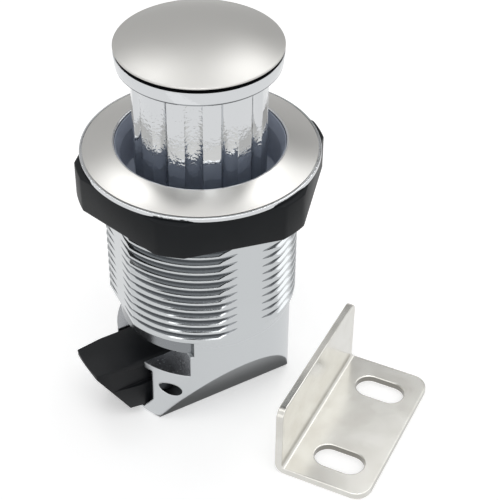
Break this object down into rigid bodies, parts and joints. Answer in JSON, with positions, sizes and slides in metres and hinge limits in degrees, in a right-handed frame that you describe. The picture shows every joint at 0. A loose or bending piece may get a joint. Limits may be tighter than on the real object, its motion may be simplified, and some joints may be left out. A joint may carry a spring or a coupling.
{
  "type": "push button cabinet lock",
  "caption": "Push button cabinet lock: threaded chrome barrel with a domed pop-out button, a spring bolt, a black ring nut and a separate slotted angle strike plate.",
  "frame": {"origin": "centre of the barrel on the face that seats on the panel (underside of flange and rosette)", "axes": "+Z along the barrel out of the panel towards the button; the bolt points along -X; the side with the cross hole faces -Y"},
  "size_m": [0.0454, 0.0513, 0.0594],
  "materials": {
    "chromed_zinc": "polished plating",
    "satin_chrome": "satin face with a polished rim",
    "satin_cap": "satin plating",
    "nickel_steel": "nickel-plated sheet",
    "black_nylon": "moulded, slightly shiny",
    "black_acetal": "moulded, slightly shiny",
    "grey_plastic": "moulded",
    "white_acetal": "moulded",
    "spring_wire": "drawn wire",
    "steel": "plain"
  },
  "bodies": {
    "lock": {"housing": "chromed_zinc", "rosette": "satin_chrome", "guide_cup": "grey_plastic", "ratchet_sleeve": "white_acetal", "spring_washer": "steel", "button_spring": "spring_wire", "bolt_pin": "steel", "bolt_spring": "spring_wire", "spring_pin": "steel", "strike_plate": "nickel_steel"},
    "button": {"button_stem": "chromed_zinc", "button_cap": "satin_cap", "cap_screw": "steel", "stem_clip": "steel", "lock_plunger": "black_acetal"},
    "ratchet": {"ratchet_ring": "white_acetal"},
    "latch": {"bolt": "black_acetal"},
    "nut": {"ring_nut": "black_nylon"}
  },
  "joints": [
    {"name": "button_press", "type": "slide", "parent": "lock", "child": "button", "axis": [0, 0, 1], "range_m": [-0.014, 0], "stiffness_N_per_m": 200, "springref_m": 0.02, "deforming": ["button_spring"]},
    {"name": "bolt_slide", "type": "slide", "parent": "lock", "child": "latch", "axis": [1, 0, 0], "range_m": [0, 0.0062], "stiffness_N_per_m": 300, "springref_m": -0.01, "deforming": ["bolt_spring"]},
    {"name": "nut_travel", "type": "slide", "parent": "lock", "child": "nut", "axis": [0, 0, 1], "range_m": [-0.0175, 0]},
    {"name": "ratchet_turn", "type": "hinge", "parent": "lock", "child": "ratchet", "pos_m": [0, 0, -0.0245], "axis": [0, 0, 1], "range_deg": [0, 30]}
  ],
  "couplings": [
    {"joint": "ratchet_turn", "follows": "button_press", "rad_per_m": -37.4}
  ]
}
